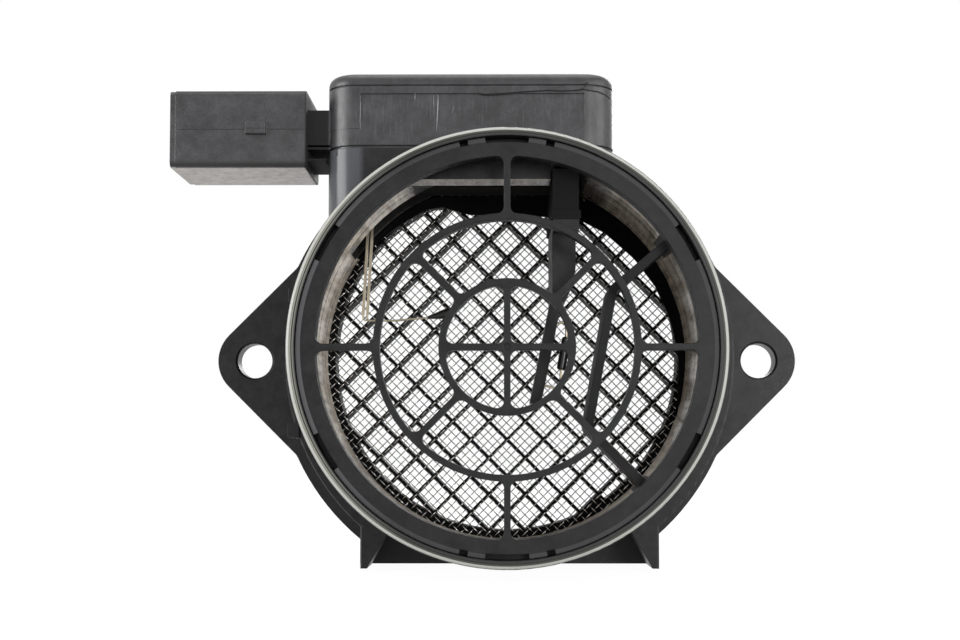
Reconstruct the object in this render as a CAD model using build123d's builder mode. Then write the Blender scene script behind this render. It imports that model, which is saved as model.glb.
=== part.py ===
"""Mass airflow sensor for an engine intake: a flanged duct with its electronics box on top.

Frame, in millimetres: +Y runs along the duct towards the air filter box, +Z points to the electronics
box, and the origin lies midway between the two bolt holes, on the flange face that meets the filter box.
Air enters at the +Y end, passes the lattice, the mesh and the sensing elements, and leaves through the
grille at the -Y end, where the intake hose is clamped on.
"""
import os
from math import atan2, ceil, cos, degrees, radians, sin, sqrt, tan

from build123d import *

os.makedirs("parts", exist_ok=True)

# ---------------------------------------------------------------- driving dimensions
# Fits. Clips and drop-in mouldings have clip_gap all round; insert-moulded metal has none.
clip_gap = 0.15

# Duct
bore_r = 36.7
duct_length = 47.0            # lip to mating face
hose_length = 29.0            # lip to shoulder
hose_wall = 3.55
lip_round = 0.7
stop_wall = 4.8               # duct wall behind the hose's land; the step stops the hose
body_wall = 8.6               # duct wall with the body ring
body_centre_x = 0.6           # body and lower tab sit this far right of the bore
shoulder_round = 0.4

# Flange
flange_rim = 3.0              # flange disc beyond the body
flange_thick = 5.0
bolt_stand_off = 4.7          # bolt holes beyond the flange disc
bolt_hole_r = 3.65
hole_chamfer = 0.4
ear_tip_r = 7.7
ear_round = 3.0               # hollow corner between an ear and the disc
tab_width = 62.4
tab_rise = 5.85               # tab's bottom above the lowest point of the disc
gusset_inset = 1.3            # outer side of a gusset inside the tab's side
gusset_foot = 1.3             # width of a gusset at the bottom of the tab
gusset_lean = 30.3            # inner side of a gusset, degrees from upright
lug_size = (2.4, 3.0)         # small stop lugs at the left edge of the shoulder
lug_proud = 0.5
lug_places = ((-42.8, 12.4), (-42.8, -14.8))

# Filter-box spigot and its sealing ring
spigot_length = 12.0
spigot_wall = 3.8
ring_r = 1.5                  # radius of the ring's own section
ring_groove_depth = 2.1
ring_groove_width = 3.6
ring_groove_start = 5.0       # from the mating face
spigot_chamfer = 1.0

# Lattice and mesh, in the counterbore behind the bore
counterbore_step = 1.5
mesh_seat = 12.0              # counterbore floor ahead of the mating face
mesh_thick = 0.5
mesh_cell = 6.4
mesh_bar = 1.1
lattice_depth = 6.0
lattice_pitch = 5.32
lattice_wall = 0.65
lattice_ledge = 1.5           # openings stop this far inside the bore
lattice_phase = (-1.2, -1.0)  # where the two families of walls pass the axis
smallest_cell = 3.0           # square millimetres; smaller rim cells are moulded shut
snap_bead = 0.35
snap_bead_width = 1.4

# Flat in the roof of the duct
roof_drop = 4.9               # flat below the top of the bore
ledge_start = 7.3             # from the lip
ledge_length = 6.1
ledge_end_x = 8.2

# Outlet grille
grille_recess_step = 1.9
grille_recess_depth = 3.6
grille_set_back = 0.6
grille_band = 2.7
grille_slot_depth = 0.95
grille_depth = 2.4
mid_ring_r = 23.8             # middle of the ring's width
inner_ring_r = 11.9
rib_width = 1.2
rib_round = 1.3
hub_dimple_r = 0.7
hub_dimple_depth = 0.3
long_slot_angles = (30.0, 150.0, 210.0, 330.0)
long_slot_sweep = 11.0
pole_slots = ((0.0, 12.0), (-12.0, 2.4), (12.0, 2.4))   # offset from the pole, sweep

# Electronics box
box_length = 56.9
box_centre_x = -7.15
box_start = 20.0              # from the lip
box_flange_gap = 0.5
box_corner_r = 6.0
saddle_drop = 4.7             # saddle below the top of the body
box_height = 12.5
box_wall = 2.3
floor_thick = 2.4
groove_line = 0.5             # open joint line between saddle and box
seam_line = 0.3               # open joint line between box and cover
panel_x = (-28.8, 15.3)       # face of the slide that moulds the front of the box
panel_drop = 1.75             # its upper edge below the top of the box
panel_height = 6.65
panel_depth = 0.3             # at its upper edge, running out to nothing at the lower
cover_thick = 2.5
cover_round = 1.9
cover_skirt = 1.6
cover_skirt_wall = 1.4
cover_bead_width = 0.8

# Window in the duct roof, and the plug that fills it
window_x = (-31.0, 15.3)
window_start = 24.0           # from the lip
window_length = 9.5
plug_recess = 2.4             # plug face stands this far back from the duct wall
plug_flat_rise = 1.7          # flat of the plug above the flat in the roof
seal_width = 1.6
seal_height = 1.3
seal_margin = 1.0             # seal groove outside the window

# Plug socket
socket_length = 26.8
socket_depth = 20.0
socket_height = 15.4
socket_wall = 1.6
socket_base = 5.2
socket_corner_r = 1.2
socket_rise = 3.95            # middle of the socket above the saddle
socket_front_gap = 0.5        # behind the front of the box
socket_rim = (1.05, 0.12)     # width and depth of the step round the mouth
neck_length = 4.0
neck_size = (14.0, 7.0)       # along Y, along Z
neck_drop = 3.4               # top of the neck below the top of the socket
neck_rib_thick = 0.5
neck_rib_zs = (-3.35, -5.65)  # ribs below the neck, from the middle of the socket
neck_rib_gap = 0.3            # lower rib short of the saddle
nub_size = (4.2, 1.0, 2.5)
nub_from_mouth = 17.0
key_rib = (1.2, 1.4)          # ribs that key the plug

# Terminals
terminal_count = 3
terminal_pitch = 5.0
terminal_size = (2.8, 0.8)
terminal_reach = 14.0         # blade standing in the socket
terminal_inner = 4.0          # blade standing in the box
strap_size = (0.9, 0.25)

# Board
plate_thick = 1.2
board_thick = 0.8
board_x = (-24.5, 15.5)
board_margin = 1.2
chip_size = (9.0, 7.0, 1.6)
chip_x = -4.0
capacitor_size = (3.2, 1.8, 1.8)
capacitor_pitch = (22.0, 6.0)
resistor_size = (2.0, 1.2, 0.6)
resistor_pitch = (29.0, 3.5)

# Sensor arm
arm_x = (8.5, 13.35)
arm_root_start = 5.5          # from the lip
arm_root_z = 21.9
arm_band = (25.7, 24.2, 0.35)
arm_blade_start = 9.0
arm_blade_back = 31.0
arm_blade_width = 4.4
arm_blade_straight = 5.5      # straight right edge above the waist's curve
arm_waist_z = 9.0
arm_waist_width = 2.3
bar_top = (9.35, 9.8)
bar_bottom = (5.3, -10.1)
bar_width = 2.1
bar_depth = 8.0

# Hot-film element
film_r = 0.85
film_top = (11.3, 2.6)
film_bottom = (10.2, -3.6)
film_from_lip = 12.0
film_lead_r = 0.24
film_lead_top = (8.9, 5.2)
film_lead_bottom = (6.6, -6.4)

# Air-temperature sensor
post_top_x = -27.2
post_bottom = (-28.5, 8.4)
post_size = (0.5, 0.9)
post_gap = 0.35
post_from_lip = 29.0
bulb_r = 1.15
bulb_tip = (-15.9, 7.9)
bulb_end = (-10.7, 9.0)
thermistor_lead_r = 0.15
thermistor_lead_gap = 0.7
thermistor_lead_sag = 1.1
thermistor_lead_run = 6.0     # level part of a lead below the posts

# Flow strut
strut_foot_angles = (33.8, -45.0)
strut_bends = ((19.5, 10.9), (14.9, -14.7))
strut_width = 1.6
strut_start = 4.4             # from the lip
strut_depth = 11.0
strut_round = 1.6
strut_foot = 3.6

# ---------------------------------------------------------------- derived places
lip_y = -duct_length
shoulder_y = lip_y + hose_length
flange_front_y = -flange_thick
hose_r = bore_r + hose_wall
stop_r = bore_r + stop_wall
body_r = bore_r + body_wall
flange_r = body_r + flange_rim
bolt_spacing = 2 * (flange_r + bolt_stand_off)
tab_bottom = flange_r - tab_rise
roof_z = bore_r - roof_drop
plug_flat_z = roof_z + plug_flat_rise
saddle_z = body_r - saddle_drop
socket_z = saddle_z + socket_rise
lattice_open_r = bore_r - lattice_ledge
counterbore_r = bore_r + counterbore_step
spigot_r = counterbore_r + spigot_wall
groove_r = spigot_r - ring_groove_depth
ring_y = ring_groove_start + ring_groove_width / 2
mesh_y = -mesh_seat
snap_y = mesh_y + mesh_thick + lattice_depth / 2
snap_half = snap_bead_width / 2
ear_point = bolt_spacing / 2 + ear_tip_r * sqrt(2)
ear_root_x = (ear_point + sqrt(2 * flange_r**2 - ear_point**2)) / 2
ear_root_z = ear_point - ear_root_x
gusset_outer = tab_width / 2 - gusset_inset
gusset_inner = gusset_outer - gusset_foot
gusset_slope = tan(radians(gusset_lean))
lattice_y = mesh_y + mesh_thick
recess_r = bore_r + grille_recess_step
grille_seat_y = lip_y + grille_recess_depth

box_front_y = lip_y + box_start
box_back_y = flange_front_y - box_flange_gap
box_depth = box_back_y - box_front_y
box_centre_y = (box_front_y + box_back_y) / 2
box_left_x = box_centre_x - box_length / 2
box_top_z = saddle_z + box_height
floor_z = saddle_z + floor_thick
panel_top_z = box_top_z - panel_drop
bead_insets = (box_wall / 2 - cover_bead_width / 2, box_wall / 2 + cover_bead_width / 2)

window_front_y = lip_y + window_start
window_back_y = window_front_y + window_length
window_width = window_x[1] - window_x[0]
window_centre = ((window_x[0] + window_x[1]) / 2, (window_front_y + window_back_y) / 2)
seal_outer = (window_width + 2 * (seal_margin + seal_width), window_length + 2 * (seal_margin + seal_width))
seal_inner = (window_width + 2 * seal_margin, window_length + 2 * seal_margin)

socket_front_y = box_front_y + socket_front_gap
socket_centre_y = socket_front_y + socket_depth / 2
socket_right_x = box_left_x - neck_length
socket_mouth_x = socket_right_x - socket_length
first_terminal_y = socket_centre_y - terminal_pitch * (terminal_count - 1) / 2
terminal_ys = [first_terminal_y + terminal_pitch * index for index in range(terminal_count)]
terminal_tip_x = socket_right_x - socket_base - terminal_reach
terminal_end_x = box_left_x + box_wall + terminal_inner

plate_z = floor_z
board_z = plate_z + plate_thick
parts_z = board_z + board_thick
board_length = board_x[1] - board_x[0]
board_width = box_depth - 2 * box_wall - 2 * board_margin
board_centre = ((board_x[0] + board_x[1]) / 2, box_centre_y)

post_y = lip_y + post_from_lip
film_y = lip_y + film_from_lip


def facing_lip(y):
    """Plane across the duct at y; its sketches read as seen from the lip, and extrusions run to the lip."""
    return Plane.XZ.offset(-y)


def cross_section(x):
    """Plane across the plug socket at x, with local x along +Y and local y along +Z."""
    return Plane.YZ.offset(x)


def export(part, name):
    part.label = name
    export_step(part, f"parts/{name}.step")


# ---------------------------------------------------------------- main housing
# One injection moulding: hose spigot, body, flange and filter-box spigot are turned about the duct axis,
# and the saddle for the electronics box grows out of the top.
with BuildPart() as main_housing:
    with BuildSketch(Plane.XY) as turned_section:
        with BuildLine():
            Polyline(
                (recess_r, lip_y),
                (hose_r, lip_y),
                (hose_r, box_front_y),
                (stop_r, box_front_y),
                (stop_r, 0),
                (spigot_r, 0),
                (spigot_r, ring_groove_start),
                (groove_r, ring_groove_start),
                (groove_r, ring_groove_start + ring_groove_width),
                (spigot_r, ring_groove_start + ring_groove_width),
                (spigot_r, spigot_length),
                (counterbore_r, spigot_length),
                (counterbore_r, mesh_y),
                (bore_r, mesh_y),
                (bore_r, grille_seat_y),
                (recess_r, grille_seat_y),
                close=True,
            )
        make_face()
        lip_corner = turned_section.vertices().sort_by_distance((hose_r, lip_y))[0]
        fillet(lip_corner, lip_round)
        spigot_corner = turned_section.vertices().sort_by_distance((spigot_r, spigot_length))[0]
        chamfer(spigot_corner, spigot_chamfer)
    revolve(axis=Axis.Y)

    # Flange: disc, two diamond ears with rounded tips, square lower tab cut off flat
    with BuildSketch(facing_lip(0)) as flange_outline:
        Rectangle(ear_point * sqrt(2), ear_point * sqrt(2), rotation=45)
        Rectangle(2 * ear_point, 2 * ear_root_z, mode=Mode.INTERSECT)
        fillet(flange_outline.vertices().group_by(Axis.X)[0], ear_tip_r)
        fillet(flange_outline.vertices().group_by(Axis.X)[-1], ear_tip_r)
        Circle(flange_r)
        for corner in ((ear_root_x, ear_root_z), (ear_root_x, -ear_root_z)):
            for side in (-1, 1):
                root = flange_outline.vertices().sort_by_distance((side * corner[0], corner[1]))[0]
                fillet(root, ear_round)
        with Locations((body_centre_x, -tab_bottom / 2)):
            Rectangle(tab_width, tab_bottom)
        with Locations((0, -tab_bottom)):
            Rectangle(4 * flange_r, 2 * flange_r, align=(Align.CENTER, Align.MAX), mode=Mode.SUBTRACT)
        Circle(spigot_r - spigot_wall / 2, mode=Mode.SUBTRACT)
    extrude(amount=flange_thick)

    # Saddle: carries the box, and runs down into the duct wall
    saddle_foot_z = roof_z / 2
    with BuildSketch(Plane.XY.offset(saddle_foot_z)):
        with Locations((box_centre_x, box_centre_y)):
            RectangleRounded(box_length, box_depth, box_corner_r)
    extrude(amount=saddle_z - saddle_foot_z)

    # Body ring ahead of the flange, open between the two wedge-shaped gussets of the lower tab
    with BuildSketch(facing_lip(flange_front_y)) as body_outline:
        with Locations((body_centre_x, 0)):
            Circle(body_r)
            Polygon(
                (0, gusset_inner / gusset_slope - tab_bottom),
                (-gusset_inner - gusset_slope * tab_bottom, -2 * tab_bottom),
                (gusset_inner + gusset_slope * tab_bottom, -2 * tab_bottom),
                align=None, mode=Mode.SUBTRACT,
            )
            for side in (-1, 1):
                Polygon(
                    (side * gusset_outer, -tab_bottom),
                    (side * gusset_inner, -tab_bottom),
                    (side * (gusset_inner - gusset_slope * tab_bottom / 2), -tab_bottom / 2),
                    (side * gusset_outer, -tab_bottom / 2),
                    align=None,
                )
        Circle(bore_r + hose_wall / 2, mode=Mode.SUBTRACT)
    extrude(amount=flange_front_y - shoulder_y)
    shoulder_edges = main_housing.edges().filter_by_position(Axis.Y, shoulder_y, shoulder_y)
    shoulder_centre = (0, shoulder_y, 0)
    outer_edges = [edge for edge in shoulder_edges if edge.distance_to(shoulder_centre) > stop_r + clip_gap]
    fillet(outer_edges, shoulder_round)

    # Small lugs at the left edge of the shoulder
    with BuildSketch(facing_lip(flange_front_y)):
        with Locations(*lug_places):
            Rectangle(*lug_size)
    extrude(amount=flange_front_y - shoulder_y + lug_proud)

    # Body trimmed flat under the box; bore and counterbore cleared through the saddle
    with BuildSketch(Plane.XY.offset(saddle_z)):
        with Locations((box_centre_x, (box_front_y + flange_front_y) / 2)):
            Rectangle(box_length, flange_front_y - box_front_y)
    extrude(amount=body_r, mode=Mode.SUBTRACT)
    with BuildSketch(facing_lip(mesh_y)):
        Circle(bore_r)
    extrude(amount=mesh_y - box_front_y, mode=Mode.SUBTRACT)
    with BuildSketch(facing_lip(flange_front_y)):
        Circle(counterbore_r)
    extrude(amount=flange_front_y - mesh_y, mode=Mode.SUBTRACT)
    with BuildSketch(Plane.XY):
        Polygon(
            (counterbore_r, snap_y + snap_half + clip_gap),
            (counterbore_r + snap_bead, snap_y),
            (counterbore_r, snap_y - snap_half - clip_gap),
            align=None,
        )
    revolve(axis=Axis.Y, mode=Mode.SUBTRACT)

    # Flat ledge in the roof of the bore
    with BuildSketch(facing_lip(lip_y + ledge_start + ledge_length)):
        Circle(bore_r + hose_wall / 2)
        with Locations((ledge_end_x, roof_z)):
            Rectangle(4 * bore_r, 2 * bore_r, align=(Align.MAX, Align.MIN), mode=Mode.INTERSECT)
    extrude(amount=ledge_length)

    # Window in the roof, and the seal groove round it
    with BuildSketch(Plane.XY.offset(saddle_z)):
        with Locations(window_centre):
            Rectangle(window_width, window_length)
    extrude(amount=-saddle_z, mode=Mode.SUBTRACT)
    with BuildSketch(Plane.XY.offset(saddle_z)):
        with Locations(window_centre):
            Rectangle(*seal_outer)
            Rectangle(*seal_inner, mode=Mode.SUBTRACT)
    extrude(amount=-seal_height, mode=Mode.SUBTRACT)

    # Bolt holes
    for side in (-1, 1):
        with BuildSketch(facing_lip(0)):
            with Locations((side * bolt_spacing / 2, 0)):
                Circle(bolt_hole_r)
        extrude(amount=flange_thick, mode=Mode.SUBTRACT)
        hole_edges = main_housing.edges().filter_by(GeomType.CIRCLE)
        front_rim = hole_edges.sort_by_distance((side * bolt_spacing / 2, flange_front_y, 0))[0]
        chamfer(front_rim, hole_chamfer)
export(main_housing.part, "main_housing")


# ---------------------------------------------------------------- outlet grille
# Clip-in guard of the outlet: a band with clip windows in its edge, two rings and their spokes.
band_outer_r = recess_r - clip_gap
band_inner_r = recess_r - grille_band - 1
grille_front_y = lip_y + grille_set_back
rib_back_y = grille_front_y + grille_depth
half_rib = rib_width / 2
cell_rings = (
    (band_inner_r, mid_ring_r + half_rib, 0),
    (mid_ring_r - half_rib, inner_ring_r + half_rib, 45),
    (inner_ring_r - half_rib, 0, 0),
)

with BuildPart() as outlet_grille:
    with BuildSketch(facing_lip(rib_back_y)):
        Circle((band_inner_r + band_outer_r) / 2)
    extrude(amount=grille_depth)
    for outer_r, inner_r, spoke_angle in cell_rings:
        with BuildSketch(facing_lip(rib_back_y)) as cells:
            Circle(outer_r)
            if inner_r:
                Circle(inner_r, mode=Mode.SUBTRACT)
            for turn in (0, 90):
                Rectangle(4 * outer_r, rib_width, rotation=spoke_angle + turn, mode=Mode.SUBTRACT)
            fillet(cells.vertices(), rib_round)
        extrude(amount=grille_depth, mode=Mode.SUBTRACT)
    with BuildSketch(facing_lip(grille_seat_y)):
        Circle(band_outer_r)
        Circle(band_inner_r, mode=Mode.SUBTRACT)
    extrude(amount=grille_seat_y - grille_front_y)

    slots = [(angle, long_slot_sweep) for angle in long_slot_angles]
    slots += [(pole + turn, width) for pole in (90, 270) for turn, width in pole_slots]
    for angle, width in slots:
        with BuildSketch(facing_lip(grille_seat_y)):
            with BuildLine():
                outer_arc = CenterArc((0, 0), recess_r, angle - width / 2, width)
                inner_arc = CenterArc((0, 0), band_outer_r - grille_slot_depth, angle - width / 2, width)
                Line(outer_arc @ 0, inner_arc @ 0)
                Line(outer_arc @ 1, inner_arc @ 1)
            make_face()
        extrude(amount=grille_seat_y - grille_front_y, mode=Mode.SUBTRACT)
    with BuildSketch(facing_lip(grille_front_y + hub_dimple_depth)):
        Circle(hub_dimple_r)
    extrude(amount=hub_dimple_depth, mode=Mode.SUBTRACT)
export(outlet_grille.part, "outlet_grille")


# ---------------------------------------------------------------- mesh and lattice
def diagonal_openings(plane, open_r, pitch, bar, phases):
    """Square openings at 45 degrees inside the flat-roofed duct; scraps at the rim are left shut."""
    reach = ceil(open_r / pitch) + 1
    bars = []
    for turn, phase in zip((45, -45), phases):
        across = radians(turn + 90)
        for step in range(-reach, reach + 1):
            shift = phase + step * pitch
            bars.append(Location((shift * cos(across), shift * sin(across)), turn))
    with BuildSketch(plane) as openings:
        Circle(open_r)
        with Locations((0, roof_z)):
            Rectangle(4 * open_r, 2 * open_r, align=(Align.CENTER, Align.MIN), mode=Mode.SUBTRACT)
        with Locations(*bars):
            Rectangle(4 * open_r, bar, mode=Mode.SUBTRACT)
    return [face for face in openings.sketch_local.faces() if face.area > smallest_cell]


# Woven wire mesh: a stamped disc that lies on the counterbore floor, drawn with coarse openings
mesh_openings = diagonal_openings(facing_lip(lattice_y), lattice_open_r, mesh_cell, mesh_bar, lattice_phase)
with BuildPart() as wire_mesh:
    with BuildSketch(facing_lip(lattice_y)):
        Circle(counterbore_r - clip_gap)
        add(mesh_openings, mode=Mode.SUBTRACT)
    extrude(amount=mesh_thick)
export(wire_mesh.part, "wire_mesh")

# Flow lattice: moulded disc of square cells that straightens the air, snapped into the counterbore
lattice_back_y = lattice_y + lattice_depth
lattice_openings = diagonal_openings(
    facing_lip(lattice_back_y), lattice_open_r, lattice_pitch, lattice_wall, lattice_phase
)
with BuildPart() as flow_lattice:
    with BuildSketch(facing_lip(lattice_back_y)):
        Circle(counterbore_r - clip_gap)
        add(lattice_openings, mode=Mode.SUBTRACT)
    extrude(amount=lattice_depth)
    with BuildSketch(Plane.XY):
        with BuildLine():
            rim_r = counterbore_r - clip_gap
            Polyline(
                (rim_r - snap_bead, snap_y - snap_half),
                (rim_r, snap_y - snap_half),
                (rim_r + snap_bead, snap_y),
                (rim_r, snap_y + snap_half),
                (rim_r - snap_bead, snap_y + snap_half),
                close=True,
            )
        make_face()
    revolve(axis=Axis.Y)
export(flow_lattice.part, "flow_lattice")

# ---------------------------------------------------------------- spigot ring
with BuildPart() as spigot_ring:
    with BuildSketch(Plane.XY):
        with Locations((groove_r + ring_r, ring_y)):
            Circle(ring_r)
    revolve(axis=Axis.Y)
export(spigot_ring.part, "spigot_ring")

# ---------------------------------------------------------------- flow strut
# C-shaped moulded strut across the right of the duct, its feet against the duct wall
strut_back_y = lip_y + strut_start + strut_depth
with BuildPart() as flow_strut:
    with BuildSketch(facing_lip(strut_back_y)):
        with BuildLine() as strut_path:
            end_r = bore_r + strut_width
            ends = [(end_r * cos(radians(a)), end_r * sin(radians(a))) for a in strut_foot_angles]
            FilletPolyline(ends[0], *strut_bends, ends[1], radius=strut_round)
        trace(strut_path.line, line_width=strut_width)
        foot_r = bore_r - strut_width / 2
        with Locations(*[
            Location((foot_r * cos(radians(a)), foot_r * sin(radians(a))), a) for a in strut_foot_angles
        ]):
            Rectangle(strut_width, strut_foot)
        Circle(bore_r - clip_gap / 2, mode=Mode.INTERSECT)
    extrude(amount=strut_depth)
export(flow_strut.part, "flow_strut")


# ---------------------------------------------------------------- air-temperature sensor
# Two stamped strips come down through the plug; fine leads carry the bead out into the air stream.
post_slope = (post_top_x - post_bottom[0]) / (roof_z - post_bottom[1])
post_pitch = post_size[0] + post_gap
post_top_z = board_z + board_thick
post_shift = post_slope * (post_top_z - post_bottom[1])
post_xs = [post_bottom[0] + side * post_pitch / 2 for side in (-1, 1)]
with BuildPart() as sensor_posts:
    for x in post_xs:
        with BuildSketch(facing_lip(post_y + post_size[1] / 2)):
            Polygon(
                (x - post_size[0] / 2, post_bottom[1]),
                (x + post_size[0] / 2, post_bottom[1]),
                (x + post_size[0] / 2 + post_shift, post_top_z),
                (x - post_size[0] / 2 + post_shift, post_top_z),
                align=None,
            )
        extrude(amount=post_size[1])
export(sensor_posts.part, "sensor_posts")

bulb_axis = Vector(bulb_end[0] - bulb_tip[0], 0, bulb_end[1] - bulb_tip[1])
bulb_plane = Plane(origin=(bulb_tip[0], post_y, bulb_tip[1]), x_dir=bulb_axis, z_dir=(0, -1, 0))
bulb_length = bulb_axis.length
with BuildPart() as thermistor_bulb:
    with BuildSketch(bulb_plane):
        with BuildLine():
            round_end = CenterArc((bulb_length - bulb_r, 0), bulb_r, 0, 90)
            Polyline(round_end @ 0, (0, 0), (0, bulb_r / 4), round_end @ 1)
        make_face()
    revolve(axis=Axis(bulb_plane.origin, bulb_plane.x_dir))
export(thermistor_bulb.part, "thermistor_bulb")

with BuildPart() as thermistor_leads:
    for x, side in zip(post_xs, (-1, 1)):
        lead_y = post_y + side * thermistor_lead_gap / 2
        low_z = post_bottom[1] - thermistor_lead_sag
        with BuildLine() as lead_path:
            FilletPolyline(
                (x, lead_y, post_bottom[1]),
                (x, lead_y, low_z),
                (x + thermistor_lead_run, lead_y, low_z),
                (bulb_tip[0], post_y + side * 1.2 * thermistor_lead_r, bulb_tip[1]),
                radius=0.7,
            )
        with BuildSketch(Plane(origin=lead_path.line @ 0, z_dir=lead_path.line % 0)):
            Circle(thermistor_lead_r)
        sweep(path=lead_path.line)
export(thermistor_leads.part, "thermistor_leads")

# ---------------------------------------------------------------- terminals
# Stamped blades, moulded into the wall between the plug socket and the box
blades = []
for index, blade_y in enumerate(terminal_ys, start=1):
    with BuildPart() as terminal:
        with BuildSketch(cross_section(terminal_tip_x)):
            with Locations((blade_y, socket_z)):
                Rectangle(*terminal_size)
        extrude(amount=terminal_end_x - terminal_tip_x)
        chamfer(terminal.faces().sort_by(Axis.X)[0].edges().filter_by(Axis.Y), terminal_size[1] / 3)
    export(terminal.part, f"terminal_{index}")
    blades.append(terminal.part)

# ---------------------------------------------------------------- electronics housing
# One moulding: box, plug for the duct window, neck and plug socket
with BuildPart() as electronics_housing:
    with BuildSketch(Plane.XY.offset(saddle_z)):
        with Locations((box_centre_x, box_centre_y)):
            RectangleRounded(box_length, box_depth, box_corner_r)
    extrude(amount=box_height)
    with BuildSketch(Plane.XY.offset(saddle_z)):
        with Locations((box_centre_x, box_centre_y)):
            RectangleRounded(box_length, box_depth, box_corner_r)
            RectangleRounded(
                box_length - 2 * groove_line, box_depth - 2 * groove_line, box_corner_r - groove_line,
                mode=Mode.SUBTRACT,
            )
    extrude(amount=groove_line, mode=Mode.SUBTRACT)

    with BuildSketch(Plane.XY.offset(box_top_z - seam_line)):
        with Locations((box_centre_x, box_centre_y)):
            RectangleRounded(box_length, box_depth, box_corner_r)
            RectangleRounded(
                box_length - 2 * seam_line, box_depth - 2 * seam_line, box_corner_r - seam_line,
                mode=Mode.SUBTRACT,
            )
    extrude(amount=seam_line, mode=Mode.SUBTRACT)
    with BuildSketch(cross_section(panel_x[0])):
        Polygon(
            (box_front_y, panel_top_z),
            (box_front_y + panel_depth, panel_top_z),
            (box_front_y, panel_top_z - panel_height),
            align=None,
        )
    extrude(amount=panel_x[1] - panel_x[0], mode=Mode.SUBTRACT)

    # plug, with its face set back from the duct wall
    with BuildSketch(Plane.XY.offset(saddle_z)):
        with Locations(window_centre):
            Rectangle(window_width - 2 * clip_gap, window_length - 2 * clip_gap)
    extrude(amount=-saddle_z)
    with BuildSketch(facing_lip(window_back_y)):
        Circle(bore_r + plug_recess)
        with Locations((0, plug_flat_z)):
            Rectangle(4 * bore_r, bore_r, align=(Align.CENTER, Align.MIN), mode=Mode.SUBTRACT)
    extrude(amount=window_length, mode=Mode.SUBTRACT)

    # plug socket on its neck
    with BuildSketch(cross_section(socket_mouth_x)):
        with Locations((socket_centre_y, socket_z)):
            RectangleRounded(socket_depth, socket_height, socket_corner_r)
    extrude(amount=socket_length)
    with BuildSketch(cross_section(socket_right_x)):
        with Locations((socket_centre_y, socket_z + socket_height / 2 - neck_drop)):
            Rectangle(neck_size[0], neck_size[1], align=(Align.CENTER, Align.MAX))
    extrude(amount=neck_length + groove_line)
    for rib_z, gap in zip(neck_rib_zs, (-groove_line, neck_rib_gap)):
        with BuildSketch(cross_section(socket_right_x)):
            with Locations((socket_centre_y, socket_z + rib_z)):
                Rectangle(neck_size[0], neck_rib_thick)
        extrude(amount=neck_length - gap)
    with BuildSketch(cross_section(socket_mouth_x)):
        with Locations((socket_centre_y, socket_z)):
            RectangleRounded(socket_depth, socket_height, socket_corner_r)
            RectangleRounded(
                socket_depth - 2 * socket_rim[1], socket_height - 2 * socket_rim[1], socket_corner_r,
                mode=Mode.SUBTRACT,
            )
    extrude(amount=socket_rim[0], mode=Mode.SUBTRACT)

    # hollow of the box, groove for the cover's bead
    with BuildSketch(Plane.XY.offset(floor_z)):
        with Locations((box_centre_x, box_centre_y)):
            RectangleRounded(box_length - 2 * box_wall, box_depth - 2 * box_wall, box_corner_r - box_wall)
    extrude(amount=box_height, mode=Mode.SUBTRACT)
    with BuildSketch(Plane.XY.offset(box_top_z - cover_bead_width)):
        with Locations((box_centre_x, box_centre_y)):
            for inset, mode in zip(bead_insets, (Mode.ADD, Mode.SUBTRACT)):
                bead_size = (box_length - 2 * inset, box_depth - 2 * inset)
                RectangleRounded(*bead_size, box_corner_r - inset, mode=mode)
    extrude(amount=cover_bead_width, mode=Mode.SUBTRACT)
    # hollow of the socket
    with BuildSketch(cross_section(socket_mouth_x)):
        with Locations((socket_centre_y, socket_z)):
            RectangleRounded(
                socket_depth - 2 * socket_wall, socket_height - 2 * socket_wall, socket_corner_r / 2
            )
            for side in (-1, 1):
                with Locations((side * socket_depth / 4, socket_height / 2 - socket_wall)):
                    Rectangle(key_rib[0], 2 * key_rib[1], mode=Mode.SUBTRACT)
    extrude(amount=socket_length - socket_base, mode=Mode.SUBTRACT)

    # latch nub on the front of the socket
    with BuildSketch(facing_lip(socket_front_y)):
        with Locations((socket_mouth_x + nub_from_mouth, socket_z)):
            Rectangle(nub_size[0], nub_size[2])
    extrude(amount=nub_size[1], taper=6)
    for blade in blades:
        add(blade, mode=Mode.SUBTRACT)
    add(sensor_posts.part, mode=Mode.SUBTRACT)
export(electronics_housing.part, "electronics_housing")

# Seal under the box, in the saddle's groove
with BuildPart() as housing_seal:
    with BuildSketch(Plane.XY.offset(saddle_z - seal_height)):
        with Locations(window_centre):
            Rectangle(*seal_outer)
            Rectangle(*seal_inner, mode=Mode.SUBTRACT)
    extrude(amount=seal_height)
export(housing_seal.part, "housing_seal")

# ---------------------------------------------------------------- electronics cover
with BuildPart() as electronics_cover:
    with BuildSketch(Plane.XY.offset(box_top_z)):
        with Locations((box_centre_x, box_centre_y)):
            RectangleRounded(box_length, box_depth, box_corner_r)
    extrude(amount=cover_thick)
    fillet(electronics_cover.faces().sort_by(Axis.Z)[-1].edges(), cover_round)
    skirt_length = box_length - 2 * box_wall - 2 * clip_gap
    skirt_depth = box_depth - 2 * box_wall - 2 * clip_gap
    skirt_corner_r = box_corner_r - box_wall - clip_gap
    with BuildSketch(Plane.XY.offset(box_top_z)):
        with Locations((box_centre_x, box_centre_y)):
            RectangleRounded(skirt_length, skirt_depth, skirt_corner_r)
            RectangleRounded(
                skirt_length - 2 * cover_skirt_wall, skirt_depth - 2 * cover_skirt_wall,
                skirt_corner_r - cover_skirt_wall, mode=Mode.SUBTRACT,
            )
    extrude(amount=-cover_skirt)
export(electronics_cover.part, "electronics_cover")

# ---------------------------------------------------------------- board and what it carries
with BuildPart() as base_plate:
    with BuildSketch(Plane.XY.offset(plate_z)):
        with Locations(board_centre):
            RectangleRounded(board_length, board_width, 1.0)
    extrude(amount=plate_thick)
export(base_plate.part, "base_plate")

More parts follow.
